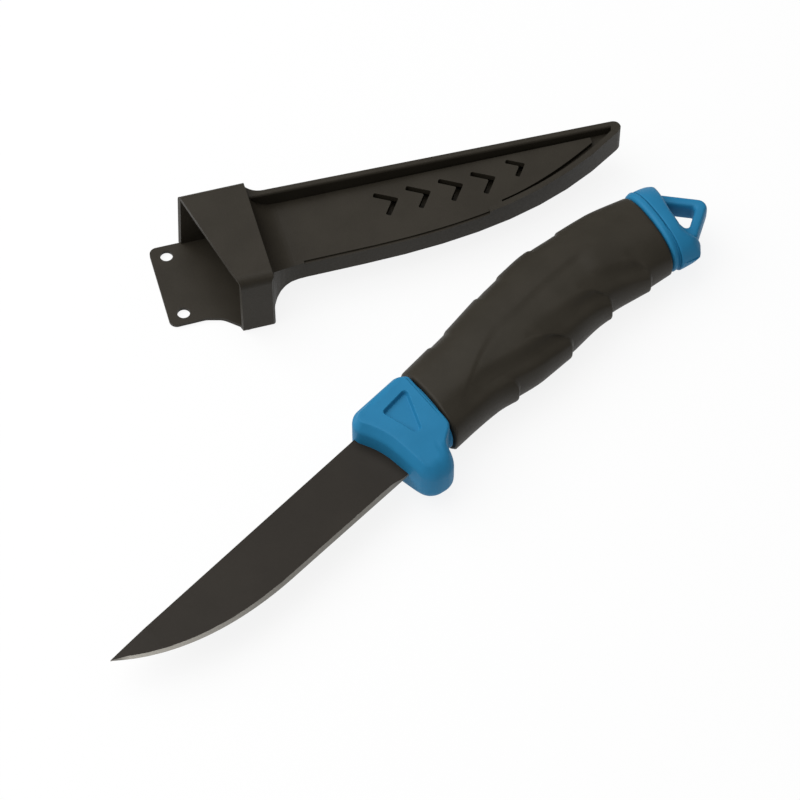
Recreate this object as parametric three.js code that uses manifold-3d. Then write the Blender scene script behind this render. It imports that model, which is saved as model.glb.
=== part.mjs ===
// Fixed-blade fishing knife lying beside its moulded belt sheath.
// Millimetres, +Z up. On the knife X runs from the blade's tip to the pommel, Y = 0 is the blade's spine
// with +Y pointing away from the cutting edge, X = 0 is where the blade leaves the guard, and Z = 0 is the
// middle of the blade's thickness.

import * as THREE from 'three';
import { mergeVertices } from 'three/addons/utils/BufferGeometryUtils.js';
import Module from 'manifold-3d';

const wasm = await Module();
wasm.setup();

// Driving dimensions: blade and tang
const bladeLength = 101.6;
const bladeWidth = 19.7;
const bladeThickness = 2.2;
const edgeBevel = 1.2;
const bevelThickness = 0.8;
const bellyLength = 55.6;
const shoulderDepth = 3;
const tangLength = 82;
const tangWidth = 9;
const tangHole = 4.2;

// Driving dimensions: guard
const guardLength = 23;
const guardTop = 3.4;
const guardDrop = 29.2;
const guardThickness = 19.2;
const guardRound = 3.6;
const lobeLength = 12.2;
const lobeThickness = 14.4;
const lobeRound = 4.6;
const recessDepth = 2;
const recessLength = 10.3;
const recessHeight = 14.1;

// Driving dimensions: grip, collars and pommel
const gripLength = 96.3;
const gripWall = 3;
const frontSlant = 0.2;
const rearSlant = 0.3;
const collarWidth = 0.8;
const collarInset = 1.3;
const ringWidth = 2.4;
const ringInset = -0.3;
const spigotLength = 3;
const spigotInset = 5;
const capHeight = 28.7;
const capLength = 11;
const lugLength = 6.2;
const loopThickness = 5.6;
const loopBar = 3.5;
const loopReach = 7.9;

// Driving dimensions: sheath
const hoodWall = 1.6;
const backWall = 1.2;
const hoodRoom = 1.9;
const mouthLean = 1.1;
const hoodLength = 20.6;
const hoodLengthEdge = 10.2;
const hoodRound = 2.4;
const hoodRoundEdge = 3.2;
const housingLength = 119.3;
const housingWall = 2;
const housingMargin = 4.7;
const housingWidth = 26.4;
const rimWidth = 1.9;
const rimHeight = 5.6;
const rimHeightEdge = 0.5;
const rimHeightTip = 1.8;
const grooveWidth = 1.1;
const grooveDepth = 1.5;
const grooveStart = 4.8;
const pocketLength = 10;
const notchPlace = 71;
const ledgeWidth = 0.8;
const ledgeDepth = 0.6;
const tabLength = 31.2;
const tabWidth = 30.5;
const tabTop = 6.8;
const tabHole = 4;
const tabHoleSpacing = 22.6;
const tabHoleInset = 4.9;
const chevronCount = 5;
const chevronPitch = 10.35;
const chevronStart = 44.4;
const chevronDepth = 5.65;
const chevronStroke = 1.7;

// How the two lie on the table: the sheath's hood corner seen from the knife, and the sheath's turn
const sheathPlace = new THREE.Vector2(36.4, 78.1);
const sheathTurn = THREE.MathUtils.degToRad(-32);

// Clearances: between touching pieces, of the guard in the hood and of the blade in its slot
const gap = 0.3;
const hoodClearance = 0.9;
const slotClearance = 0.5;

const weld = 1e-4;
const arcSegments = 3;
const sweepSegments = 7;
const ovalPoints = 40;
const sleeveRings = 10;

// Solids and cuts

function solid(geometry) {
  const plain = geometry.clone();
  plain.deleteAttribute('normal');
  plain.deleteAttribute('uv');
  const welded = mergeVertices(plain, weld);
  return new wasm.Manifold(new wasm.Mesh({
    numProp: 3,
    vertProperties: new Float32Array(welded.attributes.position.array),
    triVerts: new Uint32Array(welded.index.array),
  }));
}

function geometryOf(body) {
  const mesh = body.getMesh();
  const geometry = new THREE.BufferGeometry();
  geometry.setAttribute('position', new THREE.BufferAttribute(new Float32Array(mesh.vertProperties), 3));
  geometry.setIndex(new THREE.BufferAttribute(new Uint32Array(mesh.triVerts), 1));
  geometry.computeVertexNormals();
  return geometry;
}

// A plan outline carried from zLow to zHigh, with its edges rounded inside the outline if asked
function prism(shape, zLow, zHigh, round = 0, roundSteps = 4, roundHeight = round) {
  const geometry = new THREE.ExtrudeGeometry(shape, {
    depth: zHigh - zLow - 2 * roundHeight,
    curveSegments: arcSegments,
    bevelEnabled: round > 0,
    bevelThickness: roundHeight,
    bevelSize: round,
    bevelOffset: -round,
    bevelSegments: roundSteps,
  });
  geometry.translate(0, 0, zLow + roundHeight);
  return solid(geometry);
}

// An outline in X and Z carried along Y, or one in Y and Z carried along X
function prismAlongY(shape, yLow, yHigh, segments = arcSegments) {
  const geometry = new THREE.ExtrudeGeometry(shape, {
    depth: yHigh - yLow, curveSegments: segments, bevelEnabled: false,
  });
  geometry.rotateX(Math.PI / 2);
  geometry.translate(0, yHigh, 0);
  return solid(geometry);
}

function prismAlongX(shape, xLow, xHigh) {
  const geometry = new THREE.ExtrudeGeometry(shape, {
    depth: xHigh - xLow, curveSegments: arcSegments, bevelEnabled: false,
  });
  geometry.rotateZ(Math.PI / 2);
  geometry.rotateY(Math.PI / 2);
  geometry.translate(xLow, 0, 0);
  return solid(geometry);
}

function pin(radius, x, y, zLow, zHigh) {
  const geometry = new THREE.CylinderGeometry(radius, radius, zHigh - zLow, 24);
  geometry.rotateX(Math.PI / 2);
  geometry.translate(x, y, (zLow + zHigh) / 2);
  return solid(geometry);
}

// A closed skin over rings of equal point counts: capped at both ends, or joined end to start
function skin(rings, joined = false) {
  const count = rings[0].length;
  const positions = rings.flat().flatMap((p) => [p.x, p.y, p.z]);
  const triangles = [];
  const lastRing = joined ? rings.length : rings.length - 1;
  for (let i = 0; i < lastRing; i += 1) {
    const here = i * count;
    const next = ((i + 1) % rings.length) * count;
    for (let j = 0; j < count; j += 1) {
      const k = (j + 1) % count;
      triangles.push(here + j, here + k, next + k, here + j, next + k, next + j);
    }
  }
  if (!joined) {
    const end = (rings.length - 1) * count;
    for (let j = 1; j < count - 1; j += 1) {
      triangles.push(0, j + 1, j, end, end + j, end + j + 1);
    }
  }
  const geometry = new THREE.BufferGeometry();
  geometry.setAttribute('position', new THREE.Float32BufferAttribute(positions, 3));
  geometry.setIndex(triangles);
  return geometry;
}

// Plan outlines

// A polygon whose corners [x, y, radius] are rounded by arcs
function roundedShape(corners) {
  const shape = new THREE.Shape();
  corners.forEach(([x, y, radius = 0], i) => {
    const corner = new THREE.Vector2(x, y);
    const last = corners[(i + corners.length - 1) % corners.length];
    const next = corners[(i + 1) % corners.length];
    const before = new THREE.Vector2(...last).sub(corner).normalize();
    const after = new THREE.Vector2(...next).sub(corner).normalize();
    const half = Math.acos(THREE.MathUtils.clamp(before.dot(after), -1, 1)) / 2;
    const reach = radius / Math.tan(half);
    const start = corner.clone().addScaledVector(before, reach);
    if (i === 0) shape.moveTo(start.x, start.y);
    else shape.lineTo(start.x, start.y);
    if (radius > 0) {
      const end = corner.clone().addScaledVector(after, reach);
      const inwards = before.clone().add(after).normalize();
      const middle = inwards.multiplyScalar(radius / Math.sin(half)).add(corner);
      const from = Math.atan2(start.y - middle.y, start.x - middle.x);
      const to = Math.atan2(end.y - middle.y, end.x - middle.x);
      shape.absarc(middle.x, middle.y, radius, from, to, before.cross(after) > 0);
    }
  });
  shape.closePath();
  return shape;
}

function pointsOf(shape, segments = arcSegments) {
  const points = shape.getPoints(segments);
  const open = points.filter((p, i) => i === 0 || p.distanceTo(points[i - 1]) > weld);
  if (open[0].distanceTo(open[open.length - 1]) < weld) open.pop();
  return THREE.ShapeUtils.isClockWise(open) ? open.reverse() : open;
}

// The outline moved inwards by a distance, or outwards where it is negative
function inset(points, distance) {
  return points.map((p, i) => {
    const before = points[(i + points.length - 1) % points.length];
    const after = points[(i + 1) % points.length];
    const back = p.clone().sub(before).normalize();
    const ahead = after.clone().sub(p).normalize();
    const normal = new THREE.Vector2(-back.y - ahead.y, back.x + ahead.x).normalize();
    const stretch = 1 / Math.max(0.5, normal.dot(new THREE.Vector2(-back.y, back.x)));
    return p.clone().addScaledVector(normal, distance * stretch);
  });
}

// A bent stroke of even width through three points, with rounded corners
function strokeShape(first, bend, last, width) {
  const one = bend.clone().sub(first).normalize();
  const two = last.clone().sub(bend).normalize();
  const across = (v) => new THREE.Vector2(-v.y, v.x).multiplyScalar(width / 2);
  const mitre = across(one).add(across(two));
  mitre.multiplyScalar((width * width) / 2 / mitre.lengthSq());
  return roundedShape([
    first.clone().add(across(one)), bend.clone().add(mitre), last.clone().add(across(two)),
    last.clone().sub(across(two)), bend.clone().sub(mitre), first.clone().sub(across(one)),
  ].map((p) => [p.x, p.y, width * 0.3]));
}

// Blade: a full flat grind from the spine down to a bare edge bevel, with a stick tang

const bellyStart = -(bladeLength - bellyLength);
const belly = new THREE.CubicBezierCurve(
  new THREE.Vector2(bellyStart, -bladeWidth * 0.966),
  new THREE.Vector2(bellyStart - bellyLength * 0.36, -bladeWidth * 0.959),
  new THREE.Vector2(bellyStart - bellyLength * 0.737, -bladeWidth * 0.732),
  new THREE.Vector2(-bladeLength, 0),
);

// Spine-to-edge stations from the shoulders to the tip, as edge points
function edgePoints() {
  const straight = [new THREE.Vector2(shoulderDepth, -bladeWidth), new THREE.Vector2(0, -bladeWidth)];
  return [...straight, ...belly.getPoints(20)];
}

function bladeRing(edge) {
  const height = Math.max(-edge.y, 0.05);
  const taper = Math.min(1, (height / bladeWidth) * 2);
  const spine = (bladeThickness / 2) * (0.25 + 0.75 * taper);
  const bevel = Math.min(edgeBevel, height * 0.8);
  const waist = Math.min(bevelThickness / 2, spine * 0.9);
  return [
    new THREE.Vector3(edge.x, 0, spine),
    new THREE.Vector3(edge.x, 0, -spine),
    new THREE.Vector3(edge.x, -height + bevel, -waist),
    new THREE.Vector3(edge.x, -height, -0.04),
    new THREE.Vector3(edge.x, -height, 0.04),
    new THREE.Vector3(edge.x, -height + bevel, waist),
  ];
}

const tangTop = -(bladeWidth - tangWidth) / 2 + 1;
const tangHoleX = tangLength - tangWidth;

function tangShape(grow) {
  return roundedShape([
    [shoulderDepth - 1, tangTop + grow, 0],
    [tangLength + grow, tangTop + grow, 2],
    [tangLength + grow, tangTop - tangWidth - grow, 2],
    [shoulderDepth - 1, tangTop - tangWidth - grow, 0],
  ]);
}

function makeBlade() {
  const body = solid(skin(edgePoints().map(bladeRing)));
  const tang = prism(tangShape(0), -bladeThickness / 2, bladeThickness / 2);
  const hole = pin(tangHole / 2, tangHoleX, tangTop - tangWidth / 2, -bladeThickness, bladeThickness);
  return body.add(tang).subtract(hole);
}

// Handle sections: [share of the grip's length, top, bottom, half thickness]

const gripSections = [
  [0, 5.0, -22.6, 9.6],
  [0.2, 5.8, -22.3, 10.2],
  [0.4, 7.7, -25.2, 10.55],
  [0.55, 8.1, -25.0, 10.55],
  [0.7, 6.2, -23.9, 10.2],
  [0.85, 3.7, -26.0, 9.5],
  [1, -0.9, -28.1, 8.8],
];
const sectionCurve = new THREE.CatmullRomCurve3(
  gripSections.map(([, top, bottom, half]) => new THREE.Vector3(top, bottom, half)), false, 'centripetal',
);
const sectionPower = 2.3;
const slantHeight = -9;
const gripStart = guardLength - 2.1;
const gripEnd = gripStart + gripLength;

// The oval handle section at a place along the handle, as its middle and two half sizes
function handleSection(place) {
  const share = THREE.MathUtils.clamp((place - gripStart) / gripLength, 0, 1);
  let i = 1;
  while (i < gripSections.length - 1 && gripSections[i][0] < share) i += 1;
  const [from] = gripSections[i - 1];
  const [to] = gripSections[i];
  const at = (i - 1 + (share - from) / (to - from)) / (gripSections.length - 1);
  const { x: top, y: bottom, z: half } = sectionCurve.getPoint(at);
  return { middle: (top + bottom) / 2, tall: (top - bottom) / 2, half };
}

function slantAt(place) {
  const share = THREE.MathUtils.clamp((place - gripStart) / gripLength, 0, 1);
  return THREE.MathUtils.lerp(frontSlant, rearSlant, share);
}

// A point of an oval section, seen from the section's middle
function ovalPoint(tall, half, angle) {
  const c = Math.cos(angle);
  const s = Math.sin(angle);
  return new THREE.Vector2(
    tall * Math.sign(c) * Math.abs(c) ** (2 / sectionPower),
    half * Math.sign(s) * Math.abs(s) ** (2 / sectionPower),
  );
}

// One ring of the handle, inset from the grip's oval; rings lie in planes that lean with the guard and pommel
function handleRing(place, insetBy, count) {
  const { middle, tall, half } = handleSection(place);
  return Array.from({ length: count }, (_, j) => {
    const point = ovalPoint(tall - insetBy, half - insetBy, (2 * Math.PI * j) / count);
    const height = middle + point.x;
    return new THREE.Vector3(place + slantAt(place) * (height - slantHeight), height, point.y);
  });
}

// Grip: palm swell, finger hollows that deepen towards a crescent lip, pads over the spine and a side crease

const gripRings = 44;
const gripPoints = 44;
const lipShares = [0.275, 0.515, 0.715, 0.885];
const padEdges = [0.13, 0.205, 0.36, 0.465, 0.605, 0.72];
const hollowDepth = 1.7;
const lipHeights = [1.4, 1.2, 1.8, 1.2, 0.35];
const padHeight = 0.45;
const creaseHeight = 0.6;
const lipLean = 0.1;
const plainEnd = 0.012;

function smoothBetween(low, high, value) {
  return THREE.MathUtils.smoothstep(value, low, high);
}

// Degrees round the grip: 0 over the spine, 180 under the fingers, the same on both sides
function turnOf(angle) {
  return 180 - Math.abs(180 - THREE.MathUtils.radToDeg(angle));
}

// How far the mesh lines lean forward at the sides, so that they follow the crescent lips
function leanOf(line, turn) {
  const side = ((165 - turn) / 52) ** 2 * smoothBetween(62, 112, turn);
  const ends = Math.min(1, (line - plainEnd) / 0.48, (1 - plainEnd - line) / 0.1);
  return lipLean * (1.9 - 1.15 * line) * Math.min(side, 1.1) * ends;
}

// How far a line has come from the mark before it to the mark after it
function riseBetween(marks, line) {
  const i = marks.findIndex((mark, k) => k > 0 && (line < mark || k === marks.length - 1));
  const rise = (line - marks[i - 1]) / (marks[i] - marks[i - 1]);
  return { rise, step: i - 1, last: i === marks.length - 1 };
}

// Hollows and lips follow the leaning mesh lines; pads and crease follow the true place along the grip
function gripRelief(line, share, turn) {
  const side = riseBetween([0, ...lipShares.slice(1), 1], line);
  const under = riseBetween([0, ...lipShares, 1], line);
  const deep = side.last ? 0 : side.rise ** 1.5;
  const hollow = -hollowDepth * deep * smoothBetween(104, 134, turn) * (1 - smoothBetween(146, 170, turn));
  const lip = lipHeights[under.step] * under.rise ** 1.8 * smoothBetween(152, 172, turn);
  const pad = padEdges.reduce((sum, edge, k) => {
    const step = smoothBetween(edge - 0.012, edge + 0.012, share);
    return sum + (k % 2 === 0 ? -step : step);
  }, 0);
  const pads = padHeight * pad * (1 - smoothBetween(25, 62, turn));
  const creaseTurn = 95 + 45 * (1 - smoothBetween(0, 0.22, share)) - 11 * smoothBetween(0.45, 0.75, share);
  const crease = creaseHeight * Math.exp(-(((turn - creaseTurn) / 17) ** 2)) * smoothBetween(0, 0.1, share)
    * (1 - smoothBetween(0.62, 0.85, share));
  return hollow + lip + pads + crease;
}

function gripRing(line) {
  return Array.from({ length: gripPoints }, (_, j) => {
    const angle = (2 * Math.PI * j) / gripPoints;
    const turn = turnOf(angle);
    const share = line - leanOf(line, turn);
    const place = gripStart + gripLength * share;
    const { middle, tall, half } = handleSection(place);
    const point = ovalPoint(tall, half, angle);
    point.multiplyScalar(1 + gripRelief(line, share, turn) / point.length());
    const height = middle + point.x;
    return new THREE.Vector3(place + slantAt(place) * (height - slantHeight), height, point.y);
  });
}

function makeGrip() {
  const from = gripStart + gap;
  const to = gripEnd - gap;
  const edgeRound = 0.7;
  const step = (1 - 2 * plainEnd) / (gripRings - 1);
  const even = Array.from({ length: gripRings }, (_, i) => plainEnd + step * i);
  const clear = even.filter((line) => lipShares.every((lip) => line < lip - 0.014 || line > lip + 0.032));
  const lips = lipShares.flatMap((lip) => [lip - 0.002, lip + 0.018]);
  const lines = [...clear, ...lips].sort((a, b) => a - b);
  const bore = Array.from({ length: sleeveRings }, (_, i) => (
    handleRing(to - ((to - from) * i) / (sleeveRings - 1), gripWall, gripPoints)
  ));
  return solid(skin([
    handleRing(from, edgeRound, gripPoints),
    ...lines.map(gripRing),
    handleRing(to, edgeRound, gripPoints),
    ...bore,
  ], true));
}

// Handle core: guard, collars, sleeve round the tang and the end cap's spigot in one moulding

const guardFront = -2;
const guardLower = -bladeWidth - 0.6;
const guardRear = gripStart - collarWidth / 2;

function rearAt(y) {
  return guardRear + frontSlant * (y - slantHeight);
}

const recessTop = guardTop - 6.8;
const recessFront = guardFront + 9.6;

const lobeRear = lobeLength + 1.2;
const lobeNeck = guardLower - 2;
const lobeFront = guardFront + 4.7;
const lobeRearRound = lobeRound + 0.4;
const lobeFrontRound = lobeRound + 0.8;

function guardShape() {
  const round = guardRound + 0.1;
  return roundedShape([
    [guardFront, 0.4, 4.6],
    [guardFront + 3.9, guardTop, 5],
    [rearAt(guardTop), guardTop, round],
    [rearAt(guardLower), guardLower, round],
    [lobeRear, lobeNeck, 2.4],
    [lobeRear - 0.3, -guardDrop - 1.1, lobeRearRound],
    [lobeFront, -guardDrop + 1.2, lobeFrontRound],
  ]);
}

// A wider outline that meets the guard only round its lobe, where it gives the edges a fuller round
function lobeLimit() {
  const wide = 12;
  return roundedShape([
    [guardFront - wide, guardTop + wide],
    [guardRear + wide, guardTop + wide],
    [guardRear + wide, guardLower + 1],
    [lobeRear, lobeNeck, 2.4],
    [lobeRear - 0.3, -guardDrop - 1.1, lobeRearRound],
    [lobeFront, -guardDrop + 1.2, lobeFrontRound],
  ]);
}

// The guard seen along the blade: even thickness, thinner towards the end of the lobe
function guardEnvelope() {
  const half = guardThickness / 2;
  const far = guardDrop + 2;
  return roundedShape([
    [guardTop + 2, half], [-bladeWidth * 0.8, half, 12], [-far, lobeThickness / 2],
    [-far, -lobeThickness / 2], [-bladeWidth * 0.8, -half, 12], [guardTop + 2, -half],
  ]);
}

function recessShape() {
  return roundedShape([
    [recessFront, recessTop - 0.2, 0.8],
    [recessFront + recessLength, recessTop + 0.5, 0.8],
    [recessFront + recessLength * 0.16, recessTop - recessHeight, 1.3],
  ]);
}

function makeCore() {
  const ringEnd = gripEnd + ringWidth;
  const sleeveInset = gripWall + gap;
  const spine = solid(skin([
    handleRing(gripStart - 5, collarInset + 2.5, ovalPoints),
    handleRing(gripStart - collarWidth, collarInset, ovalPoints),
    handleRing(gripStart, collarInset, ovalPoints),
    ...Array.from({ length: sleeveRings }, (_, i) => (
      handleRing(gripStart + (gripLength * i) / (sleeveRings - 1), sleeveInset, ovalPoints)
    )),
    handleRing(gripEnd, ringInset, ovalPoints),
    handleRing(ringEnd - 0.4, ringInset, ovalPoints),
    handleRing(ringEnd, ringInset + 0.4, ovalPoints),
    handleRing(ringEnd, spigotInset, ovalPoints),
    handleRing(ringEnd + spigotLength, spigotInset, ovalPoints),
  ]));
  const half = guardThickness / 2;
  const guard = prism(guardShape(), -half, half, guardRound)
    .intersect(prism(lobeLimit(), -half, half, lobeRound, 6, half - gap))
    .intersect(prismAlongX(guardEnvelope(), guardFront - 5, guardRear + 10));
  const recess = prism(recessShape(), half - recessDepth, half + 1);
  const recessBelow = prism(recessShape(), -half - 1, -half + recessDepth);
  const slotHalf = bladeThickness / 2 + gap;
  const heel = boxShape(guardFront - 5, shoulderDepth + gap, -bladeWidth - gap, gap);
  const pocket = prism(heel, -slotHalf, slotHalf).add(prism(tangShape(gap), -slotHalf, slotHalf));
  const peg = pin(tangHole / 2 - gap, tangHoleX, tangTop - tangWidth / 2, -slotHalf - 1, slotHalf + 1);
  return spine.add(guard).subtract(recess).subtract(recessBelow).subtract(pocket).add(peg);
}

// End cap: a domed end with a hollow between two lugs, and a thinner triangular lanyard loop

const capFront = gripEnd + ringWidth + gap;

function capFrontAt(y) {
  return capFront + rearSlant * (y - slantHeight);
}

const capTop = gripSections[gripSections.length - 1][1] + 0.1;
const capBottom = capTop - capHeight;

// Rings that carry the handle's oval on to the end, thinning as a dome
function capRing(along) {
  const { half } = handleSection(gripEnd);
  const dome = Math.sqrt(1 - (along / (capLength + 1)) ** 2);
  const top = capTop - 0.34 * along;
  const bottom = capBottom - 0.3 * along;
  return Array.from({ length: ovalPoints }, (_, j) => {
    const point = ovalPoint((top - bottom) / 2, (half - ringInset) * dome, (2 * Math.PI * j) / ovalPoints);
    const height = (top + bottom) / 2 + point.x;
    return new THREE.Vector3(capFrontAt(height) + along, height, point.y);
  });
}

function capShape() {
  const x = capFrontAt(capTop);
  return roundedShape([
    [x - 20, capTop + 2],
    [x + 2, capTop + 2],
    [x + lugLength, capTop - 4.8, 1.6],
    [x - 0.5, capTop - 16.9, 14],
    [x - 1.5, capTop - 23.5, 4],
    [x - 1.8, capBottom - 1.4, 3.4],
    [x - 4, capBottom - 4],
    [x - 20, capBottom - 4],
  ]);
}

// Corner points of the loop: its two ends inside the cap and its outer corner
function loopCorners() {
  const x = capFrontAt(capTop);
  return [
    new THREE.Vector2(x + 3.6, capTop - 4.5),
    new THREE.Vector2(x + lugLength + loopReach, capTop - 20.2),
    new THREE.Vector2(x - 1.5, capTop - 28),
    new THREE.Vector2(x - 3.6, capTop - 16),
  ];
}

function makeCap() {
  const [upper, outer, lower, inner] = loopCorners();
  const along = upper.clone().sub(outer).normalize();
  const below = lower.clone().sub(outer).normalize();
  const corner = along.clone().add(below).multiplyScalar(loopBar / Math.abs(along.cross(below))).add(outer);
  const window = roundedShape([
    [corner.x, corner.y, 0.8],
    [corner.x + along.x * 12, corner.y + along.y * 12],
    [corner.x + below.x * 11, corner.y + below.y * 11],
  ]);
  const frame = roundedShape([
    [upper.x, upper.y], [outer.x, outer.y, 2.6], [lower.x, lower.y], [inner.x, inner.y],
  ]);
  const half = loopThickness / 2;
  const loop = prism(frame, -half, half, 0.7, 2).subtract(prism(window, -half - 1, half + 1));
  const domeSteps = 6;
  const domeRings = Array.from({ length: domeSteps + 1 }, (_, i) => capRing((capLength * i) / domeSteps));
  const dome = solid(skin(domeRings));
  const reach = handleSection(gripEnd).half + 1;
  const body = dome.intersect(prism(capShape(), -reach, reach));
  const socket = solid(skin([
    handleRing(gripEnd, spigotInset - gap, ovalPoints),
    handleRing(capFront + spigotLength, spigotInset - gap, ovalPoints),
  ]));
  return body.add(loop).subtract(socket);
}

// Sheath: X runs from the hood's end wall to the tip, Y = 0 is the blade's spine, Z = 0 the back

const hoodThickness = backWall + guardThickness + 2 * hoodClearance + hoodWall;
const middleZ = backWall + hoodClearance + guardThickness / 2;
const cavityTop = guardTop + hoodClearance + hoodRoom;
const cavityBottom = -guardDrop - gap;
const hoodTop = cavityTop + hoodWall;
const hoodBottom = cavityBottom - backWall;
const slotThickness = bladeThickness + 2 * slotClearance;
const housingThickness = slotThickness + 2 * housingWall;
const panelZ = middleZ + housingThickness / 2;
const housingBackZ = middleZ - housingThickness / 2;
const housingTop = housingMargin;
const housingBottom = housingTop - housingWidth;
const frontSweep = hoodThickness - panelZ;

const housingBelly = new THREE.CubicBezierCurve(
  new THREE.Vector2(housingLength - 2.4, housingTop - 5.1),
  new THREE.Vector2(housingLength * 0.78, housingBottom + 5.2),
  new THREE.Vector2(housingLength * 0.555, housingBottom),
  new THREE.Vector2(housingLength * 0.25, housingBottom),
);

// The housing's outline moved inwards, pointed at the tip; the spine side may have a margin of its own
function housingInside(margin, spineMargin = margin) {
  const steps = 24;
  const top = housingTop - spineMargin;
  const lower = housingBelly.getPoints(steps).map((p, i) => {
    const along = housingBelly.getTangent(i / steps);
    return new THREE.Vector2(p.x + margin * along.y, p.y - margin * along.x);
  }).filter((p) => p.y < top - 0.2);
  return new THREE.Shape([
    new THREE.Vector2(-8, top),
    new THREE.Vector2(lower[0].x + 0.5, top),
    ...lower,
    new THREE.Vector2(-8, housingBottom + margin),
  ]);
}

function sheathShape() {
  const shape = new THREE.Shape();
  shape.moveTo(-hoodLength - mouthLean, hoodTop);
  shape.lineTo(0, hoodTop);
  shape.bezierCurveTo(0.9, hoodTop - 1.3, 2.4, housingTop, 5.4, housingTop);
  shape.lineTo(housingLength - 2.8, housingTop);
  shape.quadraticCurveTo(housingLength - 0.1, housingTop, housingLength, housingTop - 2.4);
  shape.quadraticCurveTo(housingLength, housingTop - 3.7, housingBelly.v0.x, housingBelly.v0.y);
  const { v1, v2, v3 } = housingBelly;
  shape.bezierCurveTo(v1.x, v1.y, v2.x, v2.y, v3.x, v3.y);
  shape.lineTo(12, housingBottom);
  shape.bezierCurveTo(5, housingBottom, 0, housingBottom - 2.8, 0, housingBottom - 8);
  shape.lineTo(0, hoodBottom + 0.8);
  shape.lineTo(-0.8, hoodBottom);
  shape.lineTo(-hoodLengthEdge, hoodBottom);
  shape.closePath();
  return shape;
}

// What the slanted mouth takes off the hood: on the spine side the mouth leans out towards the back
function mouthCut() {
  const ring = (lean, z) => [
    new THREE.Vector3(-hoodLength - lean, hoodTop + 1, z),
    new THREE.Vector3(-hoodLength - 20, hoodTop + 1, z),
    new THREE.Vector3(-hoodLength - 20, hoodBottom - 1, z),
    new THREE.Vector3(-hoodLengthEdge, hoodBottom - 1, z),
  ];
  return solid(skin([ring(mouthLean, -1), ring(0, hoodThickness + 1)]));
}

// Side view: the hood's full depth sweeps down in quarter rounds to the thin blade housing, front and back
function sideShape() {
  const shape = new THREE.Shape();
  shape.moveTo(-hoodLength - 5, 0);
  shape.lineTo(0, 0);
  shape.absarc(housingBackZ, 0, housingBackZ, Math.PI, Math.PI / 2, true);
  shape.lineTo(housingLength + 1, housingBackZ);
  shape.lineTo(housingLength + 1, panelZ);
  shape.lineTo(frontSweep, panelZ);
  shape.absarc(frontSweep, hoodThickness, frontSweep, -Math.PI / 2, -Math.PI, true);
  shape.lineTo(-hoodLength - 5, hoodThickness);
  shape.closePath();
  return shape;
}

function endShape() {
  return roundedShape([
    [hoodTop, hoodThickness, hoodRound],
    [hoodTop, 0, 0.6],
    [hoodBottom, 0, 0.6],
    [hoodBottom, hoodThickness, hoodRoundEdge],
  ]);
}

function boxShape(xLow, xHigh, yLow, yHigh) {
  return roundedShape([[xLow, yLow], [xHigh, yLow], [xHigh, yHigh], [xLow, yHigh]]);
}

// What lies under a rim's top line, which runs evenly from a height at the hood to the height at the tip
function underRim(start, height) {
  const end = housingLength + 1;
  return prismAlongY(new THREE.Shape([
    new THREE.Vector2(start, middleZ),
    new THREE.Vector2(end, middleZ),
    new THREE.Vector2(end, panelZ + rimHeightTip),
    new THREE.Vector2(start, panelZ + height),
  ]), -80, 40);
}

// The edge half of the housing, split from the spine half along a line to the tip
function edgeHalf(start) {
  return prism(new THREE.Shape([
    new THREE.Vector2(start, -80),
    new THREE.Vector2(housingLength + 1, -80),
    new THREE.Vector2(housingLength + 1, housingTop - 2.4),
    new THREE.Vector2(notchPlace, -8),
    new THREE.Vector2(start, -8),
  ]), 0, hoodThickness);
}

// A tall rim along the spine, and past the notch a low one along the edge
function makeRims(outline) {
  const ring = prism(new THREE.Shape(outline), 0, hoodThickness)
    .subtract(prism(housingInside(rimWidth), -1, hoodThickness + 1));
  const spine = ring.intersect(underRim(-0.5, rimHeight)).subtract(edgeHalf(-60));
  const edge = ring.intersect(underRim(notchPlace, rimHeightEdge)).intersect(edgeHalf(notchPlace - 1));
  return spine.add(edge);
}

// A groove in the panel along the foot of both rims, wider along the spine and ending in a pocket at the tip
function makeGroove() {
  const start = frontSweep + 1;
  const end = housingLength - pocketLength;
  const top = housingTop - rimWidth;
  const plateau = prism(housingInside(rimWidth + grooveWidth, rimWidth), 0, hoodThickness + 1)
    .intersect(prism(new THREE.Shape([
      new THREE.Vector2(0, -80),
      new THREE.Vector2(end, -80),
      new THREE.Vector2(end, top - grooveWidth),
      new THREE.Vector2(start, top - 0.1),
      new THREE.Vector2(0, top - 0.1),
    ]), 0, hoodThickness + 1));
  return prism(housingInside(rimWidth), panelZ - grooveDepth, hoodThickness)
    .subtract(plateau)
    .subtract(prism(boxShape(-60, start, -80, 40), 0, hoodThickness + 1))
    .subtract(prism(boxShape(-60, notchPlace + grooveStart, -80, -8), 0, hoodThickness + 1));
}

// The back plate runs on past the mouth as a tab with two holes
function tabShape() {
  const end = -tabLength;
  const low = tabTop - tabWidth;
  return roundedShape([
    [end, tabTop, 2.4],
    [0, tabTop],
    [0, hoodBottom + 1],
    [-hoodLengthEdge + 1.4, hoodBottom + 0.2],
    [-hoodLengthEdge - 5, low - 1.2, 6],
    [-hoodLengthEdge - 10, low + 0.2, 6],
    [end, low, 2.4],
  ]);
}

function slotShape() {
  const heel = -backWall - 1;
  const outline = [
    new THREE.Vector2(heel, 0),
    new THREE.Vector2(heel, -bladeWidth),
    ...belly.getPoints(16).map((p) => new THREE.Vector2(-p.x - backWall, p.y)),
  ];
  return new THREE.Shape(inset(outline, -slotClearance));
}

function chevronShape(i) {
  const small = i === chevronCount - 1;
  const size = small ? 0.76 : 1;
  const bend = new THREE.Vector2(chevronStart + chevronPitch * i, -chevronDepth + (small ? 2.6 : 0));
  const upper = bend.clone().add(new THREE.Vector2(-6, 3.5).multiplyScalar(size));
  const lower = bend.clone().add(new THREE.Vector2(-3.6, -5.2).multiplyScalar(size));
  return strokeShape(upper, bend, lower, chevronStroke * size ** 0.5);
}

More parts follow.
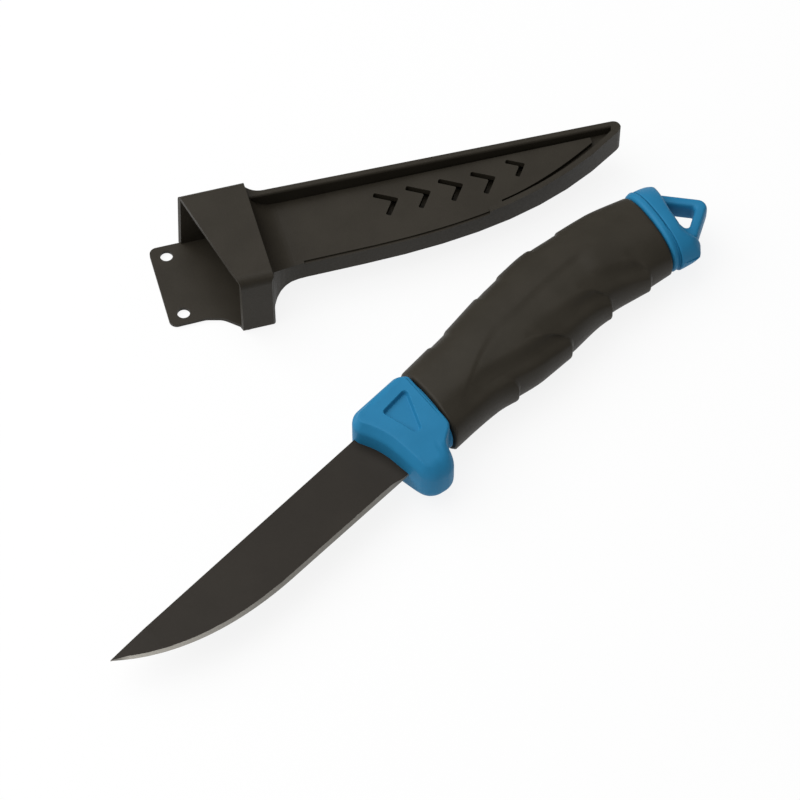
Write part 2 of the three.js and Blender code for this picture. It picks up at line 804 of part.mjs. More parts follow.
function makeSheath() {
  const outline = pointsOf(sheathShape(), 8);
  const body = prism(new THREE.Shape(outline), 0, hoodThickness)
    .intersect(prismAlongY(sideShape(), hoodBottom - 5, hoodTop + 5, sweepSegments))
    .intersect(prismAlongX(endShape(), -hoodLength - 5, housingLength + 1))
    .subtract(mouthCut());
  const ledge = prism(new THREE.Shape(outline), panelZ - ledgeDepth, panelZ + 1)
    .subtract(prism(housingInside(ledgeWidth), panelZ - ledgeDepth - 1, panelZ + 2))
    .intersect(prism(boxShape(frontSweep + 3, notchPlace, -80, -8), 0, hoodThickness));
  const cavity = prism(roundedShape([
    [-tabLength - 10, cavityTop],
    [-backWall, cavityTop, 2],
    [-backWall, cavityBottom, 2],
    [-tabLength - 10, cavityBottom],
  ]), backWall, hoodThickness - hoodWall);
  const slot = prism(slotShape(), middleZ - slotThickness / 2, middleZ + slotThickness / 2);
  let sheath = body.add(makeRims(outline)).add(prism(tabShape(), 0, backWall))
    .subtract(ledge).subtract(makeGroove()).subtract(cavity).subtract(slot);
  for (let i = 0; i < chevronCount; i += 1) {
    sheath = sheath.subtract(prism(chevronShape(i), middleZ, panelZ + 1));
  }
  const holeX = -tabLength + tabHoleInset;
  const holeY = tabTop - (tabWidth - tabHoleSpacing) / 2;
  [holeY, holeY - tabHoleSpacing].forEach((y) => {
    sheath = sheath.subtract(pin(tabHole / 2, holeX, y, -1, backWall + 1));
  });
  return sheath;
}

// Scene graph

function piece(name, body, colour, roughness, metalness) {
  const material = new THREE.MeshStandardMaterial({ color: colour, roughness, metalness });
  const mesh = new THREE.Mesh(geometryOf(body), material);
  mesh.name = name;
  return mesh;
}

// Lowers or lifts a group so that it stands on Z = 0
function standOnFloor(group) {
  group.updateMatrixWorld(true);
  group.position.z -= new THREE.Box3().setFromObject(group, true).min.z;
}

const knife = new THREE.Group();
knife.add(
  piece('blade', makeBlade(), 0x2b2826, 0.45, 0.6),
  piece('handle_core', makeCore(), 0x2f78a6, 0.45, 0),
  piece('grip', makeGrip(), 0x2c2a26, 0.85, 0),
  piece('end_cap', makeCap(), 0x2f78a6, 0.45, 0),
);
standOnFloor(knife);

const sheath = new THREE.Group();
sheath.add(piece('sheath', makeSheath(), 0x2e2b27, 0.6, 0));
sheath.position.set(sheathPlace.x, sheathPlace.y, 0);
sheath.rotation.z = sheathTurn;
standOnFloor(sheath);

const part = new THREE.Group();
part.add(knife, sheath);
part.updateMatrixWorld(true);
const reach = new THREE.Box3().setFromObject(part, true).getCenter(new THREE.Vector3());
part.position.set(-reach.x, -reach.y, 0);
part.updateMatrixWorld(true);

export default part;
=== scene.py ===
# %% [markdown]
# # A fishing knife and its belt sheath
# This lesson dresses a finished construction model: a fixed-blade fishing knife that lies beside its moulded
# belt sheath. The construction model is loaded first and never moved, so every surface made here is worked
# out in the same place and at the same size, in metres.

import bmesh
import bpy
import numpy as np
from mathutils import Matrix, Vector


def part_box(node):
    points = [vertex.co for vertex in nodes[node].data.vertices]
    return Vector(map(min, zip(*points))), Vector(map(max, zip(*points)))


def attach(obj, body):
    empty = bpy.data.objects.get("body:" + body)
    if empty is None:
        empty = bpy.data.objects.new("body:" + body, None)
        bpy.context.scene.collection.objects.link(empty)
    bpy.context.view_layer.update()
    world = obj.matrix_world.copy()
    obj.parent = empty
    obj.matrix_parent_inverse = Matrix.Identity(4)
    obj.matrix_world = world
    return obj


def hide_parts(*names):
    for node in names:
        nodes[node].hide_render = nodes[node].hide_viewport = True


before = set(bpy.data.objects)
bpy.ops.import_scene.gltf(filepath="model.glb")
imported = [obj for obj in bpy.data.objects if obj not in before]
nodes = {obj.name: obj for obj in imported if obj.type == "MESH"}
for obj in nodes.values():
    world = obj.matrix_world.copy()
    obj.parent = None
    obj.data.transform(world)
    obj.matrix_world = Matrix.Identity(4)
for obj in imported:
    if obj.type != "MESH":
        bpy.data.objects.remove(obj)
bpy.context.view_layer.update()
print("construction nodes:", sorted(nodes))

# %% [markdown]
# ## Two drawing boards
# Knife and sheath lie at an angle to each other. Each gets its own drawing board in millimetres: on the
# knife's, X runs from tip to pommel and Y = 0 is the spine; on the sheath's, X runs from hood to tip. Two
# small functions carry points from a board into the shared frame, and a third brings points back to the
# sheath's board.

# %% Drawing boards
BLADE_LENGTH = 101.6
SHEATH_TURN = np.radians(-32.0)
SHEATH_SHIFT_X, SHEATH_SHIFT_Y = 36.4, 78.1
TURN_COS, TURN_SIN = np.cos(SHEATH_TURN), np.sin(SHEATH_TURN)
blade_low, blade_high = (np.array(corner) * 1000 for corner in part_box("blade"))
knife_at = np.array([blade_low[0] + BLADE_LENGTH, blade_high[1], (blade_low[2] + blade_high[2]) / 2])
sheath_at = np.array([knife_at[0] + SHEATH_SHIFT_X, knife_at[1] + SHEATH_SHIFT_Y, 0.0])


def from_knife(x, y, z):
    """Knife-board millimetres to shared metres: a plain shift, because the knife lies along X."""
    return np.stack(np.broadcast_arrays(x, y, z), axis=-1) / 1000 + knife_at / 1000


def from_sheath(x, y, z):
    """Sheath-board millimetres to shared metres: a turn about Z, then a shift."""
    turned = np.broadcast_arrays(TURN_COS * x - TURN_SIN * y, TURN_SIN * x + TURN_COS * y, z)
    return np.stack(turned, axis=-1) / 1000 + sheath_at / 1000


def to_sheath(points):
    """Shared metres back to sheath-board millimetres: the shift and the turn undone."""
    x, y, z = (points * 1000 - sheath_at).T
    return np.stack([TURN_COS * x + TURN_SIN * y, TURN_COS * y - TURN_SIN * x, z], axis=-1)


print("knife board at", knife_at.round(3), "sheath board at", sheath_at.round(3))

# %% [markdown]
# ## The camera
# The picture was taken with a long lens from about a metre away, 55 degrees above the table. A long lens
# keeps parallel edges nearly parallel, so the lens and the distance matter as much as the direction.

# %% Camera
AIM_X, AIM_Y = 24.63, 5.42
AZIMUTH, ELEVATION = np.radians(-47.656), np.radians(55.0)
CAMERA_DISTANCE = 1.0106
SENSOR_WIDTH, LENS_LENGTH = 36.0, 152.1
look_at = Vector((knife_at[0] + AIM_X, knife_at[1] + AIM_Y, 0.0)) / 1000
back = Vector((
    np.sin(AZIMUTH) * np.cos(ELEVATION), -np.cos(AZIMUTH) * np.cos(ELEVATION), np.sin(ELEVATION)
))
eye = look_at + CAMERA_DISTANCE * back
camera_data = bpy.data.cameras.new("camera")
camera_data.sensor_width = SENSOR_WIDTH
camera_data.lens = LENS_LENGTH
camera = bpy.data.objects.new("camera", camera_data)
camera.location = eye
camera.rotation_euler = (look_at - eye).to_track_quat("-Z", "Y").to_euler()
bpy.context.scene.collection.objects.link(camera)
bpy.context.scene.camera = camera
print("camera distance in metres:", round((look_at - eye).length, 4))

# %% [markdown]
# ## From a grid of points to a mesh
# Nearly every piece below is a grid: one parameter runs along it, the other runs round it. A grid that closes
# on itself both ways is a ring; one whose first and last rows shrink to a point is a closed lump. One helper
# makes the quads for all of them, a second joins two grids into one mesh, and two more put the arrays into
# Blender.

# %% Grid helpers
MERGE_DISTANCE = 2e-7


def grid_quads(rows, columns, wrap_rows=False, first=0):
    """Quads between neighbouring rows of a grid whose columns close into a ring, from index `first`."""
    i = np.arange(rows if wrap_rows else rows - 1)[:, None]
    j = np.arange(columns)[None, :]
    here, over = i * columns, ((i + 1) % rows) * columns
    k = (j + 1) % columns
    return np.stack([here + j, here + k, over + k, over + j], axis=-1).reshape(-1, 4) + first


def two_grids(one, other, wrap_other=False):
    """Points and quads of two grids as one mesh; the second may close on itself both ways."""
    points = np.concatenate([one.reshape(-1, 3), other.reshape(-1, 3)])
    quads = grid_quads(*one.shape[:2])
    more = grid_quads(*other.shape[:2], wrap_rows=wrap_other, first=one.shape[0] * one.shape[1])
    return points, np.concatenate([quads, more])


def put_piece(name, points, faces, body, node, slot, material, sharp_degrees, uv=None):
    """Makes one closed piece from arrays, smooth except at edges sharper than `sharp_degrees`."""
    mesh = bpy.data.meshes.new(name)
    mesh.from_pydata(points.reshape(-1, 3).tolist(), [], faces.tolist())
    if uv is not None:
        corner = np.empty(len(mesh.loops), dtype=np.int32)
        mesh.loops.foreach_get("vertex_index", corner)
        layer = mesh.uv_layers.new(name="surface")
        layer.data.foreach_set("uv", uv.reshape(-1, 2)[corner].astype(np.float32).ravel())
    skin = bmesh.new()
    skin.from_mesh(mesh)
    bmesh.ops.remove_doubles(skin, verts=skin.verts, dist=MERGE_DISTANCE)
    bmesh.ops.recalc_face_normals(skin, faces=skin.faces)
    skin.to_mesh(mesh)
    skin.free()
    return finish_piece(name, mesh, body, node, material, sharp_degrees)


def finish_piece(name, mesh, body, node, material, sharp_degrees):
    """Links a mesh as a piece that rides on a body and stands for a construction node."""
    mesh.shade_smooth()
    mesh.set_sharp_from_angle(angle=np.radians(sharp_degrees))
    mesh.materials.clear()
    mesh.materials.append(material)
    piece = bpy.data.objects.new(name, mesh)
    bpy.context.scene.collection.objects.link(piece)
    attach(piece, body)
    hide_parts(node)
    print(name, "faces:", len(mesh.polygons))
    return piece


def smooth_step(low, high, value):
    """0 below low, 1 above high, and the cubic 3t^2 - 2t^3 between."""
    t = np.clip((value - low) / (high - low), 0, 1)
    return t * t * (3 - 2 * t)


# %% [markdown]
# ## Shared surface effects
# Moulded plastic, rubber and a coated blade are all slightly uneven: the tone drifts over centimetres, and a
# fine grain scatters the highlights. Both effects are needed by every finish, so they are built once as a
# node group with its own values in each material.

# %% Node group: mottle and grain
NOISE_ROUGHNESS = 0.55
NOISE_LOW, NOISE_HIGH = 0.3, 0.7
MOTTLE_DETAIL, GRAIN_DETAIL = 3.0, 2.0


def new_group(name, inputs, outputs):
    """A shader node group with named float inputs (name, default) and float outputs."""
    group = bpy.data.node_groups.new(name, "ShaderNodeTree")
    for label, value in inputs:
        socket = group.interface.new_socket(name=label, in_out="INPUT", socket_type="NodeSocketFloat")
        socket.default_value = value
    for label in outputs:
        group.interface.new_socket(name=label, in_out="OUTPUT", socket_type="NodeSocketFloat")
    return group, group.nodes.new("NodeGroupInput"), group.nodes.new("NodeGroupOutput")


def connect(tree, value, socket):
    """Feeds an input from another socket, or sets it to a plain number or colour."""
    if isinstance(value, (int, float, tuple)):
        socket.default_value = value
    else:
        tree.links.new(value, socket)


def math_node(tree, operation, a, b):
    """A Math node; each of a and b is a socket or a plain number."""
    node = tree.nodes.new("ShaderNodeMath")
    node.operation = operation
    for socket, value in zip(node.inputs, (a, b)):
        connect(tree, value, socket)
    return node.outputs[0]


def ramp(tree, value, low, high, out_low, out_high):
    """A smooth Map Range of a socket from low..high to out_low..out_high."""
    node = tree.nodes.new("ShaderNodeMapRange")
    node.interpolation_type = "SMOOTHSTEP"
    tree.links.new(value, node.inputs["Value"])
    limits = (("From Min", low), ("From Max", high), ("To Min", out_low), ("To Max", out_high))
    for label, number in limits:
        node.inputs[label].default_value = number
    return node.outputs[0]


def noise(tree, vector, scale, detail):
    """The value of a Noise texture at the given coordinates; the scale is a socket or a number."""
    node = tree.nodes.new("ShaderNodeTexNoise")
    node.inputs["Detail"].default_value = detail
    node.inputs["Roughness"].default_value = NOISE_ROUGHNESS
    tree.links.new(vector, node.inputs["Vector"])
    connect(tree, scale, node.inputs["Scale"])
    return node.outputs[0]


moulded, ins, outs = new_group(
    "moulded_unevenness", [("Mottle Scale", 60.0), ("Grain Scale", 2500.0)], ["Mottle", "Grain"]
)
place = moulded.nodes.new("ShaderNodeTexCoord").outputs["Object"]
for label, detail in (("Mottle", MOTTLE_DETAIL), ("Grain", GRAIN_DETAIL)):
    pattern = noise(moulded, place, ins.outputs[label + " Scale"], detail)
    moulded.links.new(pattern, outs.inputs[label])
print("group outputs:", [socket.name for socket in outs.inputs if socket.name])

# %% [markdown]
# ## Plastics and rubber
# The guard and pommel are a satin blue moulding, the grip is soft rubber and the sheath is a hard, grained
# black plastic. None of them is truly black or evenly coloured: the two blacks are warm greys with a slow
# mottle. One function lays out the shared nodes, and the numbers make the difference.

# %% Plastic and rubber materials


def mixed_colour(tree, factor, first, second):
    """A colour between two others, by a 0..1 socket; each is a socket or a plain (r, g, b)."""
    node = tree.nodes.new("ShaderNodeMix")
    node.data_type = "RGBA"
    tree.links.new(factor, node.inputs["Factor"])
    for label, colour in (("A", first), ("B", second)):
        plain = isinstance(colour, tuple)
        connect(tree, (*colour, 1.0) if plain else colour, node.inputs[label])
    return node.outputs["Result"]


def new_material(name):
    """A node material with its tree and its Principled shader."""
    material = bpy.data.materials.new(name)
    material.use_nodes = True
    return material, material.node_tree, material.node_tree.nodes["Principled BSDF"]


def use_moulded(tree, mottle_scale, grain_scale):
    """Places the shared group in a material with its own two scales."""
    node = tree.nodes.new("ShaderNodeGroup")
    node.node_tree = moulded
    node.inputs["Mottle Scale"].default_value = mottle_scale
    node.inputs["Grain Scale"].default_value = grain_scale
    return node.outputs


def mottled(tree, effect, dark, light):
    """The slow mottle of the shared group as a colour."""
    tone = ramp(tree, effect["Mottle"], NOISE_LOW, NOISE_HIGH, 0.0, 1.0)
    return mixed_colour(tree, tone, dark, light)


def bumped(tree, height, distance):
    """A Bump node on a height socket; the distance is the real height in metres."""
    node = tree.nodes.new("ShaderNodeBump")
    node.inputs["Strength"].default_value = 1.0
    node.inputs["Distance"].default_value = distance
    tree.links.new(height, node.inputs["Height"])
    return node.outputs["Normal"]


def moulded_finish(name, dark, light, rough, specular, mottle_scale, grain_scale, grain_depth):
    """A matte moulding: mottled colour, roughness that follows the grain, and a fine bump."""
    material, tree, shader = new_material(name)
    effect = use_moulded(tree, mottle_scale, grain_scale)
    roughness = ramp(tree, effect["Grain"], NOISE_LOW, NOISE_HIGH, rough - 0.05, rough + 0.06)
    tree.links.new(mottled(tree, effect, dark, light), shader.inputs["Base Color"])
    tree.links.new(roughness, shader.inputs["Roughness"])
    tree.links.new(bumped(tree, effect["Grain"], grain_depth), shader.inputs["Normal"])
    shader.inputs["Specular IOR Level"].default_value = specular
    return material


blue_plastic = moulded_finish(
    "blue_plastic", (0.018, 0.17, 0.33), (0.021, 0.186, 0.36), 0.45, 0.1, 70.0, 1500.0, 2e-5
)
black_rubber = moulded_finish(
    "black_rubber", (0.0268, 0.0228, 0.0162), (0.0315, 0.027, 0.0196), 0.5, 0.16, 90.0, 2600.0, 3e-5
)
black_plastic = moulded_finish(
    "black_plastic", (0.0245, 0.0204, 0.0143), (0.029, 0.0245, 0.0175), 0.5, 0.17, 80.0, 2200.0, 3e-5
)
print("plastics:", blue_plastic.name, black_rubber.name, black_plastic.name)

# %% [markdown]
# ## Coated steel
# The blade is steel under a dark matte coating. Along the cutting edge the coating is ground away and a plain
# grey bevel shows, narrower at the tip and at the heel; its grey is painted lighter towards the tip, as a
# painted reflection along the belly. The blade's UV map holds millimetres along the blade in U, and in V the
# height above the edge counted in bevel widths, so the border of the coating always falls near V = 1, a
# little uneven as grinding leaves it.

# %% Coated steel material
EDGE_BEVEL = 1.2
BORDER_SCALE, BORDER_WANDER = 0.35, 0.25
BORDER_LOW, BORDER_HIGH = 1.06, 1.18
TIP_SIDE, HEEL_SIDE = -90.0, -50.0
STEEL_SHINE, STEEL_SMOOTHER = 0.5, 0.1
COAT_ROUGH_LOW, COAT_ROUGH_HIGH = 0.44, 0.54
coated_steel, tree, shader = new_material("coated_steel")
effect = use_moulded(tree, 55.0, 3200.0)
blade_uv = tree.nodes.new("ShaderNodeUVMap")
blade_uv.uv_map = "surface"
split = tree.nodes.new("ShaderNodeSeparateXYZ")
tree.links.new(blade_uv.outputs["UV"], split.inputs["Vector"])
uneven = noise(tree, blade_uv.outputs["UV"], BORDER_SCALE, 2.0)
wander = math_node(tree, "MULTIPLY", uneven, BORDER_WANDER)
border = math_node(tree, "ADD", split.outputs["Y"], wander)
bare = ramp(tree, border, BORDER_LOW, BORDER_HIGH, 1.0, 0.0)
coating = mottled(tree, effect, (0.0205, 0.0167, 0.0125), (0.0238, 0.0194, 0.0146))
# Painted reflection: the bare grey is painted lighter at the tip and fades towards the heel.
painted_sheen_fade = ramp(tree, split.outputs["X"], TIP_SIDE, HEEL_SIDE, 0.0, 1.0)
steel = mixed_colour(tree, painted_sheen_fade, (0.31, 0.295, 0.265), (0.225, 0.215, 0.195))
tree.links.new(mixed_colour(tree, bare, coating, steel), shader.inputs["Base Color"])
tree.links.new(math_node(tree, "MULTIPLY", bare, STEEL_SHINE), shader.inputs["Metallic"])
coat_rough = ramp(tree, effect["Grain"], NOISE_LOW, NOISE_HIGH, COAT_ROUGH_LOW, COAT_ROUGH_HIGH)
smoother = math_node(tree, "MULTIPLY", bare, STEEL_SMOOTHER)
tree.links.new(math_node(tree, "SUBTRACT", coat_rough, smoother), shader.inputs["Roughness"])
tree.links.new(bumped(tree, effect["Grain"], 8e-6), shader.inputs["Normal"])
shader.inputs["Specular IOR Level"].default_value = 0.15
print("coated steel bevel width in millimetres:", EDGE_BEVEL)

# %% [markdown]
# ## The blade
# A fillet-style blade with a straight spine and a long belly that rises to the tip. It is ground flat from
# spine to edge, so a section is a thin wedge with a steeper wedge, the bevel, at its lower end. Carrying that
# section from the tip along the belly to the tang gives the whole blade as one loft. The tang's V is lifted
# out of the bevel's range, so it stays coated.

# %% Blade
BLADE_WIDTH = 19.7
BLADE_HALF = 1.1
BEVEL_HALF = 0.4
BELLY_LENGTH = 55.6
BELLY_DROP = 0.966 * BLADE_WIDTH
SHOULDER = 3.0
TANG_LENGTH = 82.0
TANG_WIDTH = 9.0
TANG_TOP = 1 - (BLADE_WIDTH - TANG_WIDTH) / 2
TANG_BEVEL, TANG_LIFT = 2.0, 5
BLADE_SHARP = 9.0


def bezier(a, b, c, d, t):
    """Cubic Bezier curve through a and d with handles b and c."""
    t = t[:, None]
    a, b, c, d = (np.array(p, float) for p in (a, b, c, d))
    return (1 - t) ** 3 * a + 3 * (1 - t) ** 2 * t * b + 3 * (1 - t) * t**2 * c + t**3 * d


def blade_edge(count):
    """The cutting edge from the shoulders along the straight part and the belly to the tip."""
    start = -(BLADE_LENGTH - BELLY_LENGTH)
    belly = bezier(
        (start, -BELLY_DROP), (start - 0.36 * BELLY_LENGTH, -0.959 * BLADE_WIDTH),
        (start - 0.737 * BELLY_LENGTH, -0.732 * BLADE_WIDTH), (-BLADE_LENGTH, 0.0),
        np.linspace(0, 1, count) ** 0.8,
    )
    straight_x = np.linspace(SHOULDER, start, 40)[:-1]
    straight_y = np.interp(-straight_x, [-SHOULDER, 0, -start], [-BLADE_WIDTH, -BLADE_WIDTH, -BELLY_DROP])
    return np.vstack([np.stack([straight_x, straight_y], axis=1), belly])


def wedge_rings(x, top, bottom, half, bevel, waist):
    """One ring per station: spine, two grind faces, two bevel faces, with straight flanks."""
    grind = np.linspace(0, 1, 14)
    wedge = np.linspace(0, 1, 6)[1:]
    low = (bottom + bevel)[:, None]
    y_side = np.hstack([top[:, None] + (low - top[:, None]) * grind, low - bevel[:, None] * wedge])
    z_grind = half[:, None] + (waist - half)[:, None] * grind
    z_side = np.hstack([z_grind, waist[:, None] * (1 - 0.94 * wedge)])
    y = np.hstack([y_side, y_side[:, ::-1]])
    z = np.hstack([z_side, -z_side[:, ::-1]])
    along, up = np.broadcast_arrays(x[:, None], (y - bottom[:, None]) / bevel[:, None])
    return from_knife(x[:, None], y, z), np.stack([along, up], axis=-1)


edge = blade_edge(150)
height = np.maximum(-edge[:, 1], 0.05)
spine_half = BLADE_HALF * (0.25 + 0.75 * np.minimum(1, 2 * height / BLADE_WIDTH))
bevel = np.minimum(EDGE_BEVEL, 0.02 + 0.3 * height) * (1 - 0.8 * smooth_step(-6, 0, edge[:, 0]))
waist = np.minimum(BEVEL_HALF, 0.9 * spine_half)
tang_x = np.array([TANG_LENGTH, SHOULDER])
tang_top, tang_half = np.full(2, TANG_TOP), np.full(2, BLADE_HALF)
tang_rings, tang_uv = wedge_rings(
    tang_x, tang_top, tang_top - TANG_WIDTH, tang_half, np.full(2, TANG_BEVEL), tang_half
)
blade_rings, blade_map = wedge_rings(edge[:, 0], np.zeros(len(edge)), -height, spine_half, bevel, waist)
blade_points = np.concatenate([tang_rings, blade_rings])
put_piece(
    "blade_ground", blade_points, grid_quads(*blade_points.shape[:2]), "knife", "blade", "blade_steel",
    coated_steel, BLADE_SHARP, np.concatenate([tang_uv + (0, TANG_LIFT), blade_map]),
)

# %% [markdown]
# ## The handle's oval
# Guard, grip and pommel share one oval that swells in the palm and slants with the guard and the pommel.
# Seven stations give its top, bottom and half thickness; a centripetal Catmull-Rom curve joins them without
# overshooting, and a superellipse makes the section squarer than a plain ellipse.

# %% Handle sections
GRIP_START = 20.9
GRIP_LENGTH = 96.3
SECTION_POWER = 2.3
SLANT_HEIGHT = -9.0
FRONT_SLANT, MORE_SLANT = 0.2, 0.1
STATIONS = np.array([
    [0.0, 5.0, -22.6, 9.6], [0.2, 5.8, -22.3, 10.2], [0.4, 7.7, -25.2, 10.55], [0.55, 8.1, -25.0, 10.55],
    [0.7, 6.2, -23.9, 10.2], [0.85, 3.7, -26.0, 9.5], [1.0, -0.9, -28.1, 8.8],
])


def section_at(share):
    """Top, bottom and half thickness at a share of the grip, on the Catmull-Rom curve of the stations."""
    share = np.clip(share, 0, 1)
    knots, values = STATIONS[:, 0], STATIONS[:, 1:]
    padded = np.vstack([2 * values[0] - values[1], values, 2 * values[-1] - values[-2]])
    i = np.clip(np.searchsorted(knots, share, side="right") - 1, 0, len(knots) - 2)
    w = ((share - knots[i]) / (knots[i + 1] - knots[i]))[..., None]
    p0, p1, p2, p3 = (padded[i + k] for k in range(4))
    pairs = ((p0, p1), (p1, p2), (p2, p3))
    d0, d1, d2 = (np.linalg.norm(b - a, axis=-1, keepdims=True) ** 0.5 for a, b in pairs)
    leave = ((p1 - p0) / d0 - (p2 - p0) / (d0 + d1) + (p2 - p1) / d1) * d1
    reach = ((p2 - p1) / d1 - (p3 - p1) / (d1 + d2) + (p3 - p2) / d2) * d1
    square, cube = 3 * (p2 - p1) - 2 * leave - reach, 2 * (p1 - p2) + leave + reach
    curve = p1 + leave * w + square * w**2 + cube * w**3
    return curve[..., 0], curve[..., 1], curve[..., 2]


def oval_point(tall, half, angle, power=SECTION_POWER):
    """Superellipse: tall |cos|^(2/n) upwards and half |sin|^(2/n) sideways, with the signs of cos and sin."""
    c, s = np.cos(angle), np.sin(angle)
    return tall * np.sign(c) * np.abs(c) ** (2 / power), half * np.sign(s) * np.abs(s) ** (2 / power)


def handle_surface(place, inset, angle, relief=0.0):
    """Points of the leaning oval at each place and angle: radius reduced by inset and raised by relief."""
    share = (place - GRIP_START) / GRIP_LENGTH
    top, bottom, half = section_at(share)
    up, side = oval_point((top - bottom) / 2 - inset, half - inset, angle)
    grow = 1 + relief / np.hypot(up, side)
    y = (top + bottom) / 2 + up * grow
    slant = FRONT_SLANT + MORE_SLANT * np.clip(share, 0, 1)
    return from_knife(place + slant * (y - SLANT_HEIGHT), y, side * grow)


print("grip middle section (top, bottom, half):", [round(float(v), 2) for v in section_at(np.array(0.5))])

# %% [markdown]
# ## The rubber grip
# A sleeve moulded over the core. Under the fingers run hollows that deepen towards crescent lips, the spine
# carries low pads, and a soft crease runs along each side. Grid lines lean forward on the sides so that they
# follow the lips; everything else is a height added to the oval along its own radius. Places along the grip
# are shares of its length, and turns are degrees from the spine (0) to the fingers (180).

# %% Grip
LINE_FIRST, LINE_LAST = 0.012, 0.988
LIPS = np.array([0.275, 0.515, 0.715, 0.885])
LIP_HEIGHTS = np.array([1.4, 1.2, 1.8, 1.2, 0.35])
LIP_POWER, LIP_FALL = 1.8, 0.018
HOLLOW_MARKS = np.array([0.0, 0.515, 0.715, 0.885, 1.0])
HOLLOW_DEPTHS = np.array([[0.0, 0.0], [0.2, 1.4], [0.3, 1.4], [0.3, 1.3], [0.4, 0.2]])
HOLLOW_TURN, HOLLOW_SINKS = 130, 16
VALLEY_FALL, VALLEY_FLOOR, VALLEY_END = 26, 2, 20
PAD_EDGES = np.array([0.13, 0.205, 0.36, 0.465, 0.605, 0.72])
PAD_STEPS = np.array([-1, 1, -1, 1, -1, 1])
PAD_HEIGHT, PAD_SOFTNESS, RIDGE_HEIGHT = 0.45, 0.007, 0.35
END_ROUND, END_GAP, SLEEVE_WALL = 0.8, 0.3, 3.0
GRIP_SHARP = 50.0


def line_lean(line, turn):
    """How far a grid line leans forward: most at the sides, nothing over the spine and at the ends.

    The lean is 0.1 (2.39 - 2.19 line) min(((172 - turn) / 52)^2, 1.1), faded at the spine and the ends.
    """
    side = ((172 - turn) / 52) ** 2 * smooth_step(62, 112, turn)
    ends = np.minimum(1, np.minimum((line - LINE_FIRST) / 0.48, (LINE_LAST - line) / 0.1))
    return 0.1 * (2.39 - 2.19 * line) * np.minimum(side, 1.1) * ends


def wave(marks, peaks, power, line):
    """Rises as a power from each mark to the peak at the next one, then falls back within LIP_FALL of it."""
    i = np.clip(np.searchsorted(marks, line, side="right"), 1, len(marks) - 1)
    rise = np.clip((line - marks[i - 1]) / (marks[i] - marks[i - 1]), 0, 1) ** power
    before = np.concatenate([[0.0], peaks])[i - 1]
    return peaks[i - 1] * rise + before * (1 - smooth_step(0, LIP_FALL, line - marks[i - 1]))


def valley(turn, depth, middle):
    """A valley along the grip: it falls over 26 degrees to its middle and rises 2 to 20 degrees past it."""
    rise = smooth_step(middle + VALLEY_FLOOR, middle + VALLEY_END, turn)
    return -depth * smooth_step(middle - VALLEY_FALL, middle, turn) * (1 - rise)


def finger_hollows(line, turn):
    """Between two marks a valley deepens and sinks from the side to the edge.

    At the mark it ends in a crescent wall, where the next valley takes over within LIP_FALL.
    """
    i = np.clip(np.searchsorted(HOLLOW_MARKS, line, side="right"), 1, len(HOLLOW_MARKS) - 1)
    past = line - HOLLOW_MARKS[i - 1]
    rise = np.clip(past / (HOLLOW_MARKS[i] - HOLLOW_MARKS[i - 1]), 0, 1)
    depth = HOLLOW_DEPTHS[i, 0] + (HOLLOW_DEPTHS[i, 1] - HOLLOW_DEPTHS[i, 0]) * rise
    before = valley(turn, HOLLOW_DEPTHS[i - 1, 1], HOLLOW_TURN + HOLLOW_SINKS)
    here = valley(turn, depth, HOLLOW_TURN + HOLLOW_SINKS * rise**2)
    return before + (here - before) * smooth_step(0, LIP_FALL, past)


def side_crease(share, turn):
    """A step down along an S-shaped line that climbs from the guard to the middle of the side.

    Its line lies at 87.5 + 58 (1 - share / 0.33)^1.6 degrees; behind share 0.68 it fades away.
    """
    line_turn = 87.5 + 58 * np.clip(1 - share / 0.33, 0, 1) ** 1.6
    depth = smooth_step(0.05, 0.2, share) * (0.3 + 0.2 * smooth_step(0.35, 0.5, share))
    depth = depth * (1 - smooth_step(0.68, 0.76, share))
    step = smooth_step(line_turn - 3, line_turn + 5, turn)
    return -depth * step * (1 - smooth_step(line_turn + 14, line_turn + 44, turn))


def grip_relief(line, share, turn):
    """Hollows and lips follow the leaning lines; pads and crease follow the true place along the grip."""
    ridge = RIDGE_HEIGHT * smooth_step(116, 147, turn) * (1 - smooth_step(147, 175, turn))
    lip = wave(np.concatenate([[0], LIPS, [1]]), LIP_HEIGHTS, LIP_POWER, line) * smooth_step(136, 174, turn)
    steps = smooth_step(PAD_EDGES - PAD_SOFTNESS, PAD_EDGES + PAD_SOFTNESS, share[..., None])
    pads = PAD_HEIGHT * (steps * PAD_STEPS).sum(axis=-1) * (1 - smooth_step(25, 62, turn))
    return finger_hollows(line, turn) + ridge + lip + pads + side_crease(share, turn)


near_lip = np.linspace(-0.008, 0.024, 17)
even = np.linspace(LINE_FIRST, LINE_LAST, 210)
even = even[(np.abs(even[:, None] - LIPS - 0.008) > 0.018).all(axis=1)]
line = np.sort(np.concatenate([even, (LIPS[:, None] + near_lip).ravel()]))[:, None]
angle = np.linspace(0, 2 * np.pi, 240, endpoint=False)[None, :]
angle_turn = 180 - np.abs(180 - np.degrees(angle))
turn = angle_turn + 0 * line
share = line - line_lean(line, turn)
grip_end = GRIP_START + GRIP_LENGTH
outer = handle_surface(GRIP_START + GRIP_LENGTH * share, 0.0, angle, grip_relief(line, share, turn))
quarter = np.linspace(0, np.pi / 2, 5)[:-1, None]
past, inset = END_ROUND * (1 - np.cos(quarter)), END_ROUND * (1 - np.sin(quarter))
front_round = handle_surface(GRIP_START + END_GAP + past, inset, angle)
rear_round = handle_surface(grip_end - END_GAP - past[::-1], inset[::-1], angle)
bore_line = np.linspace(grip_end - END_GAP, GRIP_START + END_GAP, 20)[:, None]
bore = handle_surface(bore_line, SLEEVE_WALL, angle)
grip_points = np.concatenate([front_round, outer, rear_round, bore])
put_piece(
    "grip_sleeve", grip_points, grid_quads(*grip_points.shape[:2], wrap_rows=True), "knife", "grip",
    "grip_rubber", black_rubber, GRIP_SHARP,
)

